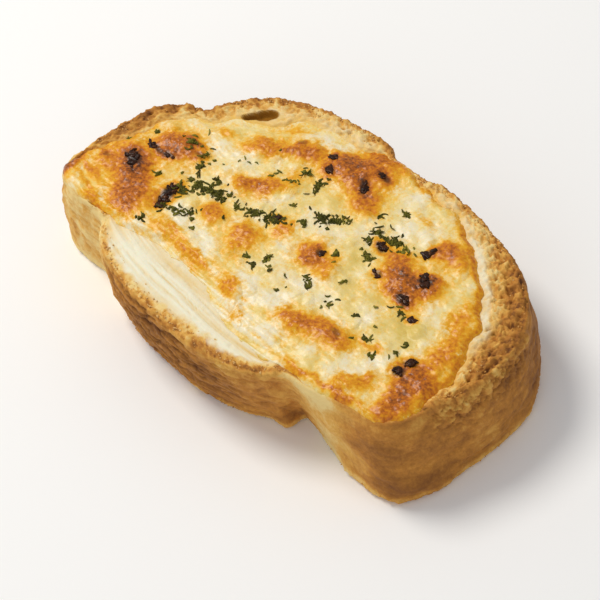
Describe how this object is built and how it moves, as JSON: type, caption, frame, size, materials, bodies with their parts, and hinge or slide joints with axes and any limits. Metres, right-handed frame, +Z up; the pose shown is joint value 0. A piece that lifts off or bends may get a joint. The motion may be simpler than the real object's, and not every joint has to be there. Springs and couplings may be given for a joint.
{
  "type": "garlic bread slice",
  "caption": "Thick slice of crusty bread under a layer of melted, browned cheese with chopped parsley, lying flat, to be set on a plate, board or tray.",
  "frame": {"origin": "centre of the slice's outline, on the plane that its lower cut face rests on", "axes": "+X along the slice's long way, towards the rounded lip; +Y towards the domed crust; +Z up, out of the cheese"},
  "size_m": [0.1412, 0.0838, 0.0298],
  "materials": {
    "bread_crust": null,
    "melted_cheese": "melted cheese, satin and slightly oily, with golden-brown blisters, charred bits and parsley"
  },
  "bodies": {
    "root": {"bread": "bread_crust", "cheese_topping": "melted_cheese"}
  },
  "joints": []
}
